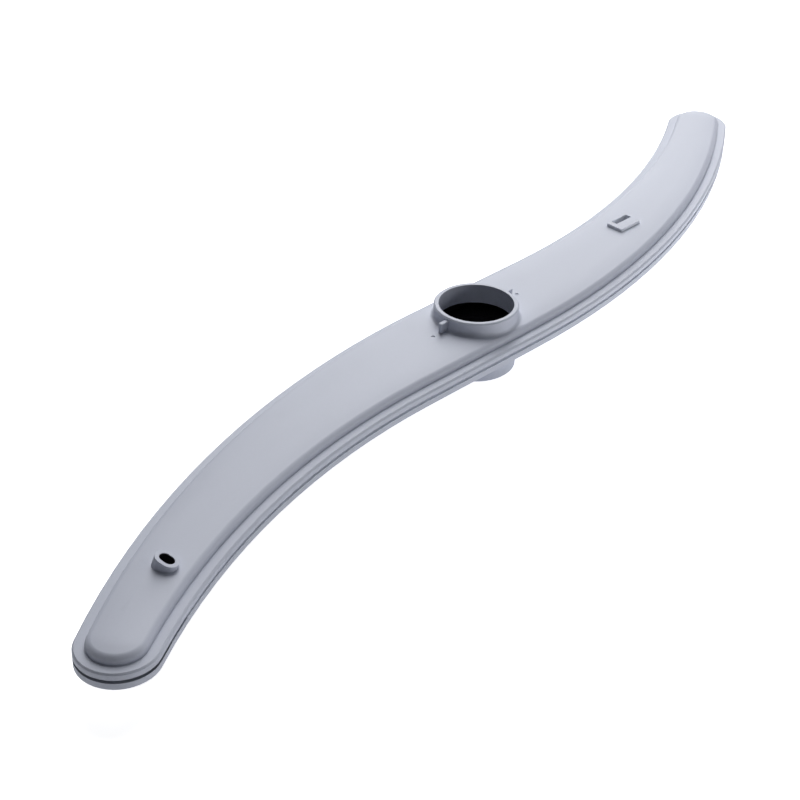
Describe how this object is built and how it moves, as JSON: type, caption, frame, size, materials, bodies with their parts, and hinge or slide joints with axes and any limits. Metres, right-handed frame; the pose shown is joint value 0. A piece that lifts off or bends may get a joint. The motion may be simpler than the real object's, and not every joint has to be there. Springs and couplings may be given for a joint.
{
  "type": "dishwasher spray arm",
  "caption": "S-shaped two-shell plastic spray arm with a round inlet collar, oval jets and a hub; it turns in a dishwasher and sprays water.",
  "frame": {"origin": "on the axis that the arm turns about, at the flat foot of the hub", "axes": "+Z out of the inlet collar, X from tip to tip"},
  "size_m": [0.4872, 0.0752, 0.0268],
  "materials": {
    "grey_plastic": "satin moulded"
  },
  "bodies": {
    "root": {"inlet_shell": "grey_plastic", "jet_shell": "grey_plastic"}
  },
  "joints": []
}
